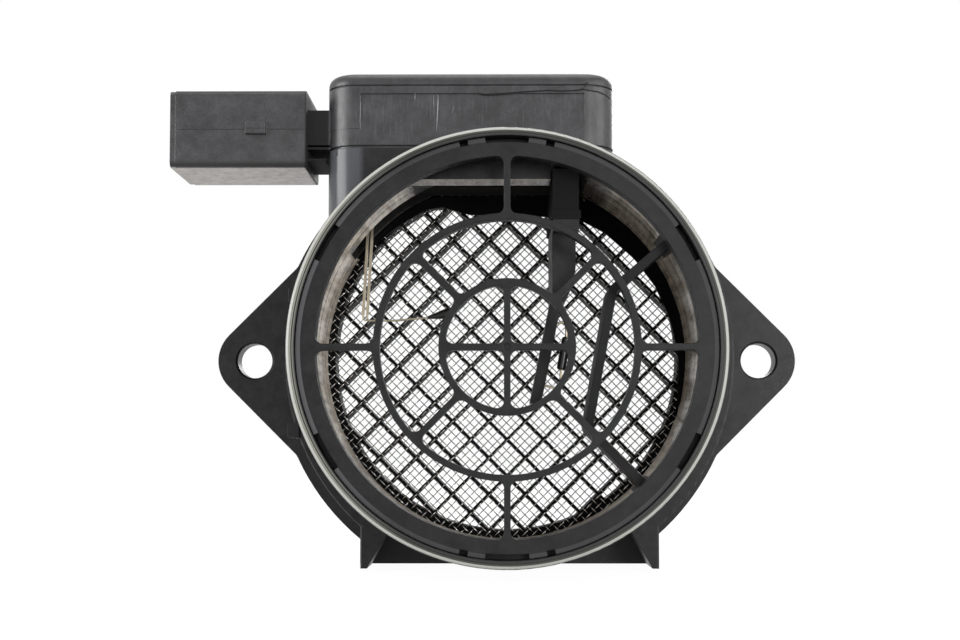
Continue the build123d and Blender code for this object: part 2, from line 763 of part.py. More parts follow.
with BuildPart() as circuit_board:
    with BuildSketch(Plane.XY.offset(board_z)):
        with Locations(board_centre):
            Rectangle(board_length - board_margin, board_width - board_margin)
    extrude(amount=board_thick)
export(circuit_board.part, "circuit_board")

with BuildPart() as control_chip:
    with BuildSketch(Plane.XY.offset(parts_z)):
        with Locations((chip_x, box_centre_y)):
            Rectangle(chip_size[0], chip_size[1])
    extrude(amount=chip_size[2])
    chamfer(control_chip.faces().sort_by(Axis.Z)[-1].edges(), 0.3)
export(control_chip.part, "control_chip")

with BuildPart() as capacitors:
    with BuildSketch(Plane.XY.offset(parts_z)):
        with Locations((chip_x, box_centre_y)):
            with GridLocations(*capacitor_pitch, 2, 2):
                Rectangle(capacitor_size[0], capacitor_size[1])
    extrude(amount=capacitor_size[2])
export(capacitors.part, "capacitors")

with BuildPart() as resistors:
    with BuildSketch(Plane.XY.offset(parts_z)):
        with Locations((chip_x, box_centre_y)):
            with GridLocations(*resistor_pitch, 2, 3):
                Rectangle(resistor_size[0], resistor_size[1])
    extrude(amount=resistor_size[2])
export(resistors.part, "resistors")

# ---------------------------------------------------------------- hot-film leads
# Two stiff wires moulded into the slanted bar of the sensor arm
with BuildPart() as film_leads:
    for start, tip, bend_z in (
        (film_lead_top, film_top, film_lead_top[1] + 0.3),
        (film_lead_bottom, film_bottom, film_lead_bottom[1] - 0.9),
    ):
        with BuildLine() as lead_path:
            FilletPolyline(
                (start[0], film_y, start[1]), (tip[0] - 0.1, film_y, bend_z), (tip[0], film_y, tip[1]),
                radius=0.9,
            )
        with BuildSketch(Plane(origin=lead_path.line @ 0, z_dir=lead_path.line % 0)):
            Circle(film_lead_r)
        sweep(path=lead_path.line)
export(film_leads.part, "film_leads")

# ---------------------------------------------------------------- sensor arm
# Thin blade under the plug, ending in a slanted bar that holds the hot film
arm_front_y = lip_y + arm_root_start
blade_front_y = lip_y + arm_blade_start
arm_back_y = lip_y + arm_blade_back
bar_length = sqrt((bar_top[0] - bar_bottom[0]) ** 2 + (bar_top[1] - bar_bottom[1]) ** 2)
bar_angle = degrees(atan2(bar_top[1] - bar_bottom[1], bar_top[0] - bar_bottom[0]))
with BuildPart() as sensor_arm:
    with BuildSketch(facing_lip(arm_back_y)):
        with BuildLine():
            waist = Line((arm_x[0], arm_waist_z), (arm_x[0] + arm_waist_width, arm_waist_z))
            right_x = arm_x[0] + arm_blade_width
            right = Line((right_x, arm_root_z), (right_x, arm_root_z - arm_blade_straight))
            TangentArc(right @ 1, waist @ 1, tangent=(0, -1))
            Line(waist @ 0, (arm_x[0], arm_root_z))
            Line((arm_x[0], arm_root_z), right @ 0)
        make_face()
    extrude(amount=arm_back_y - blade_front_y)
    with BuildSketch(facing_lip(arm_back_y)):
        with Locations(((arm_x[0] + arm_x[1]) / 2, (arm_root_z + plug_flat_z) / 2)):
            Rectangle(arm_x[1] - arm_x[0], plug_flat_z - arm_root_z)
    extrude(amount=arm_back_y - arm_front_y)
    with BuildSketch(facing_lip(arm_back_y)):
        with Locations(((arm_x[0] + arm_x[1]) / 2, (arm_band[0] + arm_band[1]) / 2)):
            Rectangle(arm_x[1] - arm_x[0] + 2 * arm_band[2], arm_band[0] - arm_band[1])
    extrude(amount=arm_back_y - arm_front_y + arm_band[2])
    with BuildSketch(facing_lip(blade_front_y + bar_depth)):
        with Locations(Location(
            ((bar_top[0] + bar_bottom[0]) / 2, (bar_top[1] + bar_bottom[1]) / 2), bar_angle
        )):
            Rectangle(bar_length, bar_width)
    extrude(amount=bar_depth)
    add(film_leads.part, mode=Mode.SUBTRACT)
export(sensor_arm.part, "sensor_arm")

# Hot film: glass-covered cylinder beside the bar, on two stiff leads
film_axis = Vector(film_bottom[0] - film_top[0], 0, film_bottom[1] - film_top[1])
film_plane = Plane(origin=(film_top[0], film_y, film_top[1]), z_dir=film_axis)
with BuildPart() as hot_film:
    with BuildSketch(film_plane):
        Circle(film_r)
    extrude(amount=film_axis.length)
    fillet(hot_film.edges().filter_by(GeomType.CIRCLE), film_r / 2)
export(hot_film.part, "hot_film")

# Bonding straps from the terminals and the posts to the board
strap_end_x = board_x[0] + board_margin + 1.0
with BuildPart() as bond_straps:
    for blade_y in terminal_ys:
        with BuildSketch(Plane.XY.offset(parts_z)):
            with Locations(((terminal_end_x - 1.0 + strap_end_x) / 2, blade_y)):
                Rectangle(strap_end_x - terminal_end_x + 1.0, strap_size[0])
        extrude(amount=strap_size[1])
export(bond_straps.part, "bond_straps")

# Bead of adhesive between the cover and the rim of the box
with BuildPart() as cover_seal:
    with BuildSketch(Plane.XY.offset(box_top_z - cover_bead_width)):
        with Locations((box_centre_x, box_centre_y)):
            for inset, mode in zip(bead_insets, (Mode.ADD, Mode.SUBTRACT)):
                bead_size = (box_length - 2 * inset, box_depth - 2 * inset)
                RectangleRounded(*bead_size, box_corner_r - inset, mode=mode)
    extrude(amount=cover_bead_width)
export(cover_seal.part, "cover_seal")
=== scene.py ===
"""Mass airflow sensor for an engine intake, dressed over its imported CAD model.

The sections follow the sensor as it is put together: the duct moulding first, then what drops into it from
the filter side, the electronics housing with its sensing parts, the cover, the outlet grille, and last the
studio. Sizes are in millimetres, and are turned to metres where a mesh or a material takes them. Lamps are
placed in metres.
"""
from math import atan2, cos, hypot, radians, sin, sqrt

import bpy
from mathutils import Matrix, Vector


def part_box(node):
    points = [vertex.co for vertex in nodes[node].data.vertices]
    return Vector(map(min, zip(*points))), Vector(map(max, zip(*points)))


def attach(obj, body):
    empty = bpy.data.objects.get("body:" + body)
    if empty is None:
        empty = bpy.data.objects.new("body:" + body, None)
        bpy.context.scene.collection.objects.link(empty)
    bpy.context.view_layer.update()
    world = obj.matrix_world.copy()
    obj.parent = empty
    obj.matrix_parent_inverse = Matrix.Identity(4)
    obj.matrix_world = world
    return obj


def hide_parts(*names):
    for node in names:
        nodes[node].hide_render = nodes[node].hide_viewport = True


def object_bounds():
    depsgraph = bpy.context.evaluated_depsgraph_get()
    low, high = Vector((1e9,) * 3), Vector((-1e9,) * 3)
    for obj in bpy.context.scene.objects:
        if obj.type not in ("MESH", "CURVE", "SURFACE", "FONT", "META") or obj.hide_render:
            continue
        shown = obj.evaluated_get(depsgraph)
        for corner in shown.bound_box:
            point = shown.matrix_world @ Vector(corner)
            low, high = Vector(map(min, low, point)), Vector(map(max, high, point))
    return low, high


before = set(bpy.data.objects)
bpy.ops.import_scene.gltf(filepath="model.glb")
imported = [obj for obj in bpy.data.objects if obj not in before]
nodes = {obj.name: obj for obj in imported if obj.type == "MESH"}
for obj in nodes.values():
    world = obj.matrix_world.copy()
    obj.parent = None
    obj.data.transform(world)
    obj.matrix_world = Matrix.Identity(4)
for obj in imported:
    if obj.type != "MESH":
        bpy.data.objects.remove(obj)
cad_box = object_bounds()


# ------------------------------------------------------------------ duct moulding
# One injection moulding in black glass-filled PBT: hose spigot, body, bolt flange and filter-box spigot. The
# outside is satin, and mottled by the glass that floats up in the skin. A polished core pin shapes the bore,
# which is glossier; its pale brown is painted reflection of the white surroundings at a flat angle, streaked
# the way the core was drawn out.
def srgb(code):
    """Linear colour of an sRGB hex value."""
    channels = [int(code[i:i + 2], 16) / 255 for i in (1, 3, 5)]
    return [c / 12.92 if c <= 0.04045 else ((c + 0.055) / 1.055) ** 2.4 for c in channels] + [1.0]


def mm(size):
    """Metres from millimetres."""
    return size / 1000


def per_mm(size):
    """Texture scale that gives a pattern of this size in millimetres."""
    return 1000 / size


def add_node(tree, kind, inputs=None, **settings):
    """Adds a shader node, with its settings, its socket values and its links."""
    node = tree.nodes.new("ShaderNode" + kind)
    for name, value in settings.items():
        setattr(node, name, value)
    for name, value in (inputs or {}).items():
        if isinstance(value, bpy.types.NodeSocket):
            tree.links.new(value, node.inputs[name])
        else:
            node.inputs[name].default_value = value
    return node


def blank_material(name):
    """New material with no nodes but the piece's own coordinates, which place every pattern."""
    material = bpy.data.materials.new(name)
    material.use_nodes = True
    tree = material.node_tree
    tree.nodes.clear()
    return material, tree, add_node(tree, "TexCoord").outputs["Object"]


def moulded_plastic(name, dark, light, satin, cloud_mm, gloss_level, corner_mm=0.2, grain_height=0.012):
    """Black moulding compound: cloudy skin, spark-eroded grain, corners softened by the tool's own radius.

    The grain is drawn at a third of a millimetre, coarser than the real one, so that it shows.
    """
    grain_mm = 0.35
    material, tree, place = blank_material(name)
    clouds = add_node(tree, "TexNoise", {
        "Vector": place, "Scale": per_mm(cloud_mm), "Detail": 6.0, "Roughness": 0.62,
    }).outputs["Fac"]
    grain = add_node(tree, "TexNoise", {
        "Vector": place, "Scale": per_mm(grain_mm), "Detail": 2.0,
    }).outputs["Fac"]
    cloud_share = add_node(tree, "MapRange", {
        "Value": clouds, "From Min": 0.34, "From Max": 0.66,
    }).outputs[0]
    shade = add_node(
        tree, "Mix", {"Factor": cloud_share, 6: srgb(dark), 7: srgb(light)}, data_type="RGBA"
    ).outputs[2]
    speckle = add_node(tree, "MapRange", {
        "Value": grain, "From Min": 0.3, "From Max": 0.7, "To Min": 0.82, "To Max": 1.18,
    }).outputs[0]
    skin = add_node(tree, "VectorMath", {0: shade, "Scale": speckle}, operation="SCALE").outputs[0]
    gloss = add_node(tree, "MapRange", {
        "Value": grain, "From Min": 0.3, "From Max": 0.7, "To Min": satin - 0.06, "To Max": satin + 0.08,
    }).outputs[0]
    corner = add_node(tree, "Bevel", {"Radius": mm(corner_mm)}, samples=4).outputs[0]
    relief = add_node(tree, "Bump", {
        "Height": grain, "Distance": mm(grain_height), "Strength": 0.8, "Normal": corner,
    }).outputs[0]
    shader = add_node(tree, "BsdfPrincipled", {
        "Base Color": skin, "Roughness": gloss, "IOR": 1.57, "Specular IOR Level": gloss_level,
        "Normal": relief,
    })
    add_node(tree, "OutputMaterial", {"Surface": shader.outputs[0]})
    return material, tree, place, shader


def finish_node(node, material):
    """Gives a CAD node its finish."""
    for holder in nodes[node].material_slots:
        holder.material = material


def from_axis(tree, place):
    """Distance from the duct's axis, in metres."""
    across = add_node(tree, "VectorMath", {0: place, 1: (1.0, 0.0, 1.0)}, operation="MULTIPLY").outputs[0]
    return add_node(tree, "VectorMath", {0: across}, operation="LENGTH").outputs["Value"]


def overlap(tree, share, *more):
    """1 only where every one of these shares is 1."""
    for other in more:
        share = add_node(tree, "Math", {0: share, 1: other}, operation="MULTIPLY").outputs[0]
    return share


def within(tree, value, low, high, blur):
    """1 where a value lies between two limits in millimetres and 0 outside, with soft edges."""
    above = add_node(tree, "MapRange", {
        "Value": value, "From Min": mm(low - blur), "From Max": mm(low + blur),
    }).outputs[0]
    below = add_node(tree, "MapRange", {
        "Value": value, "From Min": mm(high + blur), "From Max": mm(high - blur),
    }).outputs[0]
    return overlap(tree, above, below)


def repaint(tree, shader, share, colour, roughness=None):
    """Lays another colour, and with it another roughness, over what a shader already has."""
    under = shader.inputs["Base Color"].links[0].from_socket
    over = add_node(tree, "Mix", {"Factor": share, 6: under, 7: colour}, data_type="RGBA")
    tree.links.new(over.outputs[2], shader.inputs["Base Color"])
    if roughness is not None:
        under = shader.inputs["Roughness"].links[0].from_socket
        over = add_node(tree, "Mix", {"Factor": share, 2: under, 3: roughness}, data_type="FLOAT")
        tree.links.new(over.outputs[0], shader.inputs["Roughness"])


duct_pbt, tree, place, shader = moulded_plastic(
    "duct_pbt", "#0b0b0c", "#201f20", satin=0.4, cloud_mm=2.6, gloss_level=0.2
)
radius = from_axis(tree, place)
at = add_node(tree, "SeparateXYZ", {0: place}).outputs

# Bore: painted pale as reflection as far up as the flat of the roof, and a little higher beside the window
sheen_r = 37.0
window_end_x = 15.3
roof_z = 31.9
beside_window_z = 34.5
beside = add_node(tree, "Math", {0: at["X"], 1: mm(window_end_x)}, operation="GREATER_THAN").outputs[0]
sheen_top = add_node(tree, "MapRange", {
    "Value": beside, "To Min": mm(roof_z), "To Max": mm(beside_window_z),
}).outputs[0]
under_roof = add_node(tree, "Math", {0: at["Z"], 1: sheen_top}, operation="LESS_THAN").outputs[0]
bore_share = overlap(tree, within(tree, radius, 0.0, sheen_r, 0.05), under_roof)

# The painted reflection: pale blotches drawn out along the core, crossed by rings that hardly wander across
# the bore
blotch_mm = 1.5
blotch_length_mm = 9.375
drawn = add_node(
    tree, "VectorMath", {0: place, 1: (1.0, blotch_mm / blotch_length_mm, 1.0)}, operation="MULTIPLY"
).outputs[0]
blotches = add_node(tree, "TexNoise", {
    "Vector": drawn, "Scale": per_mm(blotch_mm), "Detail": 6.0, "Roughness": 0.7,
}).outputs["Fac"]
ring_mm = 2.2
ring_wander = 0.03
turned = add_node(
    tree, "VectorMath", {0: place, 1: (ring_wander, 1.0, ring_wander)}, operation="MULTIPLY"
).outputs[0]
rings = add_node(tree, "TexNoise", {
    "Vector": turned, "Scale": per_mm(ring_mm), "Detail": 3.0,
}).outputs["Fac"]
marks = add_node(tree, "Mix", {"Factor": 0.45, 2: blotches, 3: rings}, data_type="FLOAT").outputs[0]
mark_share = add_node(tree, "MapRange", {"Value": marks, "From Min": 0.38, "From Max": 0.6}).outputs[0]
bore_painted_light = add_node(
    tree, "Mix", {"Factor": mark_share, 6: srgb("#8f8377"), 7: srgb("#fff4e4")}, data_type="RGBA"
).outputs[2]

# Painted light paling the lower side, and painted shade, brown-black, on the flat of the roof
lower_light_from_z = -12.0
lower_light_full_z = -34.0
lower_light = add_node(tree, "MapRange", {
    "Value": at["Z"], "From Min": mm(lower_light_from_z), "From Max": mm(lower_light_full_z), "To Max": 0.75,
}).outputs[0]
bore_painted_light = add_node(
    tree, "Mix", {"Factor": lower_light, 6: bore_painted_light, 7: srgb("#f0e8dc")}, data_type="RGBA"
).outputs[2]
roof_shade_from_z = 30.5
roof_shade_full_z = 31.5
roof_shade = add_node(tree, "MapRange", {
    "Value": at["Z"], "From Min": mm(roof_shade_from_z), "From Max": mm(roof_shade_full_z), "To Max": 0.75,
}).outputs[0]
bore_painted_light = add_node(
    tree, "Mix", {"Factor": roof_shade, 6: bore_painted_light, 7: srgb("#332b25")}, data_type="RGBA"
).outputs[2]
repaint(tree, shader, bore_share, bore_painted_light, 0.22)

# Strip of the bore's wall between window and mesh, painted black and dull as shade
strip_front_y = -13.8
strip_foot_z = 20.5
behind = add_node(tree, "Math", {0: at["Y"], 1: mm(strip_front_y)}, operation="GREATER_THAN").outputs[0]
above = add_node(tree, "Math", {0: at["Z"], 1: mm(strip_foot_z)}, operation="GREATER_THAN").outputs[0]
repaint(tree, shader, overlap(tree, behind, above, bore_share), srgb("#0a0a0a"), 0.7)

# Left corner of the saddle, made smoother by the slide that formed it, and painted paler as a highlight
slide_x = (-40.0, -28.5)
slide_y = (-28.5, -22.5)
slide_z = (20.0, 53.5)
saddle_highlight = overlap(
    tree,
    within(tree, at["X"], *slide_x, 0.6),
    within(tree, at["Y"], *slide_y, 1.5),
    within(tree, at["Z"], *slide_z, 0.4),
)
repaint(tree, shader, saddle_highlight, srgb("#444548"), 0.26)

# Flat face of the lip: turning marks, drawn coarse enough to show, and paler towards the left, which is
# painted light
lip_y = cad_box[0][1] * 1000
lip_face_r = (38.7, 39.6)
lathe_mm = 0.36
lip_lit_from_x = -18.0
lip_lit_full_x = -34.0
at_lip = within(tree, at["Y"], lip_y - 1.0, lip_y + 0.68, 0.03)
face_share = overlap(tree, within(tree, radius, *lip_face_r, 0.05), at_lip)
groove_place = add_node(tree, "CombineXYZ", {"X": radius}).outputs[0]
grooves = add_node(tree, "TexNoise", {
    "Vector": groove_place, "Scale": per_mm(lathe_mm), "Detail": 1.0,
}).outputs["Fac"]
groove_share = add_node(tree, "MapRange", {"Value": grooves, "From Min": 0.4, "From Max": 0.6}).outputs[0]
lip_lit_side = add_node(tree, "MapRange", {
    "Value": at["X"], "From Min": mm(lip_lit_from_x), "From Max": mm(lip_lit_full_x),
}).outputs[0]
crest_shade = add_node(
    tree, "Mix", {"Factor": lip_lit_side, 6: srgb("#383834"), 7: srgb("#7c7c74")}, data_type="RGBA"
).outputs[2]
face_shade = add_node(
    tree, "Mix", {"Factor": groove_share, 6: srgb("#121213"), 7: crest_shade}, data_type="RGBA"
).outputs[2]
repaint(tree, shader, face_share, face_shade, 0.4)

# Outer corner of the lip, smooth, and painted pale as a highlight of the white surroundings
rim_highlight_r = (39.58, 40.1)
rim_highlight_share = overlap(tree, within(tree, radius, *rim_highlight_r, 0.06), at_lip)
repaint(tree, shader, rim_highlight_share, srgb("#9c9c97"), 0.3)

# Lugs at the left edge of the shoulder, paler than the flange behind them
lug_x = (-44.2, -41.4)
lug_y = (-7.2, -4.6)
lug_low_z = (-16.4, -13.2)
lug_high_z = (10.8, 14.0)
lug_low = within(tree, at["Z"], *lug_low_z, 0.02)
lug_high = within(tree, at["Z"], *lug_high_z, 0.02)
lugs = add_node(tree, "Math", {0: lug_low, 1: lug_high}, operation="ADD").outputs[0]
lugs = overlap(tree, lugs, within(tree, at["X"], *lug_x, 0.02), within(tree, at["Y"], *lug_y, 0.1))
repaint(tree, shader, lugs, srgb("#515157"), 0.3)
finish_node("main_housing", duct_pbt)

# ------------------------------------------------------------------ sealing ring and seals
# Round ring of black EPDM rubber in the groove of the filter-box spigot, and flat silicone frames under the
# electronics housing and its cover. Rubber is matt, slightly grey with talc, and has no grain.
rubber, tree, place = blank_material("talced_rubber")
talc = add_node(tree, "TexNoise", {"Vector": place, "Scale": per_mm(3.0), "Detail": 6.0}).outputs["Fac"]
talc_share = add_node(tree, "MapRange", {"Value": talc, "From Min": 0.4, "From Max": 0.75}).outputs[0]
dusted = add_node(
    tree, "Mix", {"Factor": talc_share, 6: srgb("#1b1b1c"), 7: srgb("#3a3937")}, data_type="RGBA"
).outputs[2]
shader = add_node(tree, "BsdfPrincipled", {"Base Color": dusted, "Roughness": 0.72, "IOR": 1.52})
add_node(tree, "OutputMaterial", {"Surface": shader.outputs[0]})
for node in ("spigot_ring", "housing_seal", "cover_seal"):
    finish_node(node, rubber)

# ------------------------------------------------------------------ wire mesh
# Disc of plain-woven stainless wire that lies on the counterbore floor, with its wires cut off at the rim.
# Each wire rises over one neighbour and dips under the next, and a glint is painted on it at every crossing.
# It stays on its crest for a share of the pitch to each side of the crossing.
wire_mm = 0.2
weave_pitch = 1.33
crest_reach = 0.32
mesh_low, mesh_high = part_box("wire_mesh")
mesh_r = (mesh_high[0] - mesh_low[0]) / 2 * 1000
mesh_middle_y = (mesh_low[1] + mesh_high[1]) / 2 * 1000


def mesh_piece(name, points, faces, smooth=False):
    """New object from points in millimetres."""
    data = bpy.data.meshes.new(name)
    data.from_pydata([[mm(c) for c in point] for point in points], [], faces)
    data.update()
    if smooth:
        data.shade_smooth()
    else:
        data.shade_flat()
    piece = bpy.data.objects.new(name, data)
    bpy.context.scene.collection.objects.link(piece)
    return piece


def square_wire(points, faces, path, half):
    """Adds a four-sided wire along a path that rises and dips along Y."""
    first = len(points)
    run_x = path[-1][0] - path[0][0]
    run_z = path[-1][2] - path[0][2]
    side_x = -run_z / hypot(run_x, run_z)
    side_z = run_x / hypot(run_x, run_z)
    for x, y, z in path:
        for aside, rise in ((half, 0), (0, half), (-half, 0), (0, -half)):
            points.append((x + aside * side_x, y + rise, z + aside * side_z))
    last = len(points) - 4
    for a in range(first, last, 4):
        for k in range(4):
            n = (k + 1) % 4
            faces.append((a + k, a + n, a + 4 + n, a + 4 + k))
    faces.append((first, first + 1, first + 2, first + 3))
    faces.append((last + 3, last + 2, last + 1, last))


points = []
faces = []
count = int(mesh_r / weave_pitch)
for family in (0, 1):
    for row in range(-count, count + 1):
        offset = row * weave_pitch
        reach = int(sqrt(max(mesh_r ** 2 - offset ** 2, 0)) / weave_pitch)
        if reach < 1:
            continue
        path = []
        for cross in range(-reach, reach + 1):
            over = 1 if (cross + row + family) % 2 else -1
            for lean in (-crest_reach, crest_reach):
                run = (cross + lean) * weave_pitch
                u, v = (run, offset) if family == 0 else (offset, run)
                path.append(((u - v) / sqrt(2), mesh_middle_y + over * wire_mm / 2, (u + v) / sqrt(2)))
        square_wire(points, faces, path, wire_mm / 2)
woven_wire = mesh_piece("woven_wire", points, faces, smooth=True)

# Drawn stainless steel: crests are painted bright as glints, and the slopes between them painted dark as
# shade
slope_lift = 0.06
crest_lift = 0.13
stainless, tree, place = blank_material("drawn_stainless_wire")
lift = add_node(tree, "SeparateXYZ", {0: place}).outputs["Y"]
lift = add_node(tree, "Math", {0: lift, 1: mm(mesh_middle_y)}, operation="SUBTRACT").outputs[0]
lift = add_node(tree, "Math", {0: lift}, operation="ABSOLUTE").outputs[0]
crest_glint = add_node(tree, "MapRange", {
    "Value": lift, "From Min": mm(slope_lift), "From Max": mm(crest_lift),
}).outputs[0]
stain = add_node(tree, "TexNoise", {"Vector": place, "Scale": per_mm(7.0), "Detail": 3.0}).outputs["Fac"]
glint_tone = add_node(
    tree, "Mix", {"Factor": stain, 6: srgb("#c2c1bd"), 7: srgb("#f2f1ee")}, data_type="RGBA"
).outputs[2]
glint_and_shade = add_node(tree, "Mix", {"Factor": crest_glint, 6: srgb("#5c5b58"), 7: glint_tone}, data_type="RGBA").outputs[2]
shader = add_node(tree, "BsdfPrincipled", {"Base Color": glint_and_shade, "Metallic": 1.0, "Roughness": 0.25})
add_node(tree, "OutputMaterial", {"Surface": shader.outputs[0]})
woven_wire.data.materials.append(stainless)
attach(woven_wire, "root")
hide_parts("wire_mesh")
finish_node("wire_mesh", stainless)

# ------------------------------------------------------------------ lattice and flow strut
# Square-celled flow straightener, snapped in behind the mesh, and the C-shaped strut in front of it. Both
# are unfilled black PBT, blacker than the duct because there is no glass in the skin, and the lattice is
# dull with soot. The lattice's near-black is partly painted shade, deep in the duct.
lattice_pbt = moulded_plastic(
    "lattice_pbt", "#050506", "#0c0c0d", satin=0.6, cloud_mm=9.0, gloss_level=0.05, corner_mm=0.08,
    grain_height=0.004,
)[0]
finish_node("flow_lattice", lattice_pbt)
strut_pbt = moulded_plastic(
    "strut_pbt", "#0b0b0c", "#161617", satin=0.5, cloud_mm=4.0, gloss_level=0.14, corner_mm=0.1
)[0]
finish_node("flow_strut", strut_pbt)

# ------------------------------------------------------------------ mesh retainer
# Thin moulded crescent, as black as the lattice, that holds the mesh down at its edge. It is broad under the
# roof and beside the sensor arm, where its black band is painted shade on the mesh, and narrows to a point
# at both ends.
retainer_gap = 0.03
retainer_thick = 0.9
retainer_r = 36.68
retainer_roof_z = 33.4
# Inner edge, from left to right, as an angle in degrees and a radius
retainer_edge = (
    (146.0, 36.5), (139.0, 35.9), (128.0, 35.2), (118.0, 34.85), (113.0, 34.0), (109.0, 32.2), (104.0, 30.6),
    (97.0, 29.8), (90.0, 29.6), (80.0, 30.0), (72.0, 30.6), (61.0, 32.4), (52.0, 32.9), (38.0, 33.4),
    (26.0, 34.0), (14.0, 34.5), (2.0, 35.2), (-12.0, 36.0), (-20.0, 36.5),
)


def banded_piece(name, rows, sides):
    """Piece between four rows of points: front inner, front outer, back inner and back outer.

    A side is the pair of rows that its faces join. Both ends are closed.
    """
    n = len(rows[0])
    points = [point for row in rows for point in row]
    faces = [(0, n, 3 * n, 2 * n), (n - 1, 3 * n - 1, 4 * n - 1, 2 * n - 1)]
    for row, other in sides:
        a = row * n
        b = other * n
        faces += [(a + k, a + k + 1, b + k + 1, b + k) for k in range(n - 1)]
    return mesh_piece(name, points, faces)


inner_ring = []
outer_ring = []
for degrees, inner_r in retainer_edge:
    turn = radians(degrees)
    outer_x = retainer_r * cos(turn)
    outer_z = retainer_r * sin(turn)
    if outer_x < window_end_x:
        outer_z = min(outer_z, retainer_roof_z)
    inner_ring.append((inner_r * cos(turn), inner_r * sin(turn)))
    outer_ring.append((outer_x, outer_z))
retainer_back = mesh_low[1] * 1000 - retainer_gap
retainer_front = retainer_back - retainer_thick
retainer = banded_piece("mesh_retainer_shade", [
    [(x, y, z) for x, z in ring]
    for y in (retainer_front, retainer_back)
    for ring in (inner_ring, outer_ring)
], sides=((0, 1), (1, 3), (3, 2), (2, 0)))
retainer.data.materials.append(lattice_pbt)
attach(retainer, "root")

# ------------------------------------------------------------------ electronics housing
# Box, window plug, neck and plug socket in one black PBT moulding. The tool closes half-way up the socket,
# where it leaves a fine witness line round socket, neck and box corner. Ejection has streaked the skin.
box_pbt, tree, place, shader = moulded_plastic(
    "box_pbt", "#202022", "#333335", satin=0.4, cloud_mm=3.5, gloss_level=0.36, corner_mm=0.25
)
at = add_node(tree, "SeparateXYZ", {0: place}).outputs
cover_low, cover_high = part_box("electronics_cover")
box_left_x = cover_low[0] * 1000
box_right_x = cover_high[0] * 1000
box_front_y = cover_low[1] * 1000
socket_left_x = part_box("electronics_housing")[0][0] * 1000

# Drag marks on the box, up and down the way it left the tool
drag_mm = 0.5
drag_stretch = 0.12
pulled = add_node(
    tree, "VectorMath", {0: place, 1: (1.0, 1.0, drag_stretch)}, operation="MULTIPLY"
).outputs[0]
drags = add_node(tree, "TexNoise", {
    "Vector": pulled, "Scale": per_mm(drag_mm), "Detail": 4.0,
}).outputs["Fac"]
drag_share = add_node(tree, "MapRange", {
    "Value": drags, "From Min": 0.55, "From Max": 0.8, "To Max": 0.3,
}).outputs[0]
on_box = within(tree, at["X"], box_left_x, box_right_x + 1.0, 0.4)
repaint(tree, shader, overlap(tree, drag_share, on_box), srgb("#5c5c5e"))

# Underside of the socket: bare of grain, painted pale brown and mottled as reflection of the white floor
foot_z = 38.0
mottle_mm = 1.8
facing = add_node(tree, "NewGeometry").outputs["Normal"]
facing = add_node(tree, "SeparateXYZ", {0: facing}).outputs["Z"]
faces_down = add_node(tree, "MapRange", {"Value": facing, "From Min": -0.9, "From Max": -0.98}).outputs[0]
on_socket = within(tree, at["X"], socket_left_x - 1.0, box_left_x - 0.5, 0.3)
at_foot = add_node(tree, "Math", {0: at["Z"], 1: mm(foot_z)}, operation="LESS_THAN").outputs[0]
mottle = add_node(tree, "TexNoise", {
    "Vector": place, "Scale": per_mm(mottle_mm), "Detail": 6.0, "Roughness": 0.7,
}).outputs["Fac"]
mottle_share = add_node(tree, "MapRange", {
    "Value": mottle, "From Min": 0.3, "From Max": 0.6, "To Min": 0.35, "To Max": 0.95,
}).outputs[0]
floor_reflection = overlap(tree, faces_down, on_socket, at_foot, mottle_share)
repaint(tree, shader, floor_reflection, srgb("#9c928a"), 0.3)

# Neck and window plug, where the slides of the tool met: painted black and dull as shade, where no light
# falls
neck_length = 4.2
neck_shade = within(tree, at["X"], box_left_x - neck_length, box_left_x + 0.2, 0.2)
repaint(tree, shader, neck_shade, srgb("#070707"), 0.8)
plug_top_z = 36.2
plug_left_x = box_left_x + 4.5
low = add_node(tree, "Math", {0: at["Z"], 1: mm(plug_top_z)}, operation="LESS_THAN").outputs[0]
inward = add_node(tree, "Math", {0: at["X"], 1: mm(plug_left_x)}, operation="GREATER_THAN").outputs[0]
repaint(tree, shader, overlap(tree, low, inward), srgb("#040404"), 0.9)

# Long edges of the socket, darker along the top and the foot
top_edge_z = (51.7, 52.5)
foot_edge_z = (36.8, 38.1)
top_edge = within(tree, at["Z"], *top_edge_z, 0.1)
foot_edge = within(tree, at["Z"], *foot_edge_z, 0.4)
edges = add_node(tree, "Math", {0: top_edge, 1: foot_edge}, operation="ADD").outputs[0]
not_down = add_node(tree, "MapRange", {
    "Value": facing, "From Min": -0.85, "From Max": -0.7, "To Max": 0.85,
}).outputs[0]
repaint(tree, shader, overlap(tree, edges, not_down, on_socket), srgb("#0c0d0a"), 0.7)

# Witness line of the tool's halves
line_z = (44.32, 44.48)
line_x = (socket_left_x + 1.6, -28.9)
line = overlap(tree, within(tree, at["Z"], *line_z, 0.03), within(tree, at["X"], *line_x, 0.1))
repaint(tree, shader, line, srgb("#060606"))
finish_node("electronics_housing", box_pbt)

# ------------------------------------------------------------------ torn weld flash
# Film of the box's own plastic, pressed out between box and cover when they were welded, and torn ragged at
# its lower edge. It hangs over the front of the box at the right. Its back lies on the box and has no faces.
film_mm = 0.22
film_top_share = 0.6
# Torn edge, from left to right, as (x, z)
film_edge = (
    (-5.3, 51.35), (-4.4, 51.15), (-1.2, 51.3), (2.7, 51.6), (8.1, 51.95), (10.6, 51.8), (14.1, 51.95),
    (15.0, 52.2), (16.0, 51.95), (17.1, 51.85), (18.2, 51.75), (18.9, 51.57), (19.6, 51.4), (20.1, 51.2),
    (20.6, 51.0),
)
cover_skirt = 1.6
film_drop = 0.35
film_top_z = cover_low[2] * 1000 + cover_skirt - film_drop
box_corner_r = 6.0
corner_start_x = box_right_x - box_corner_r


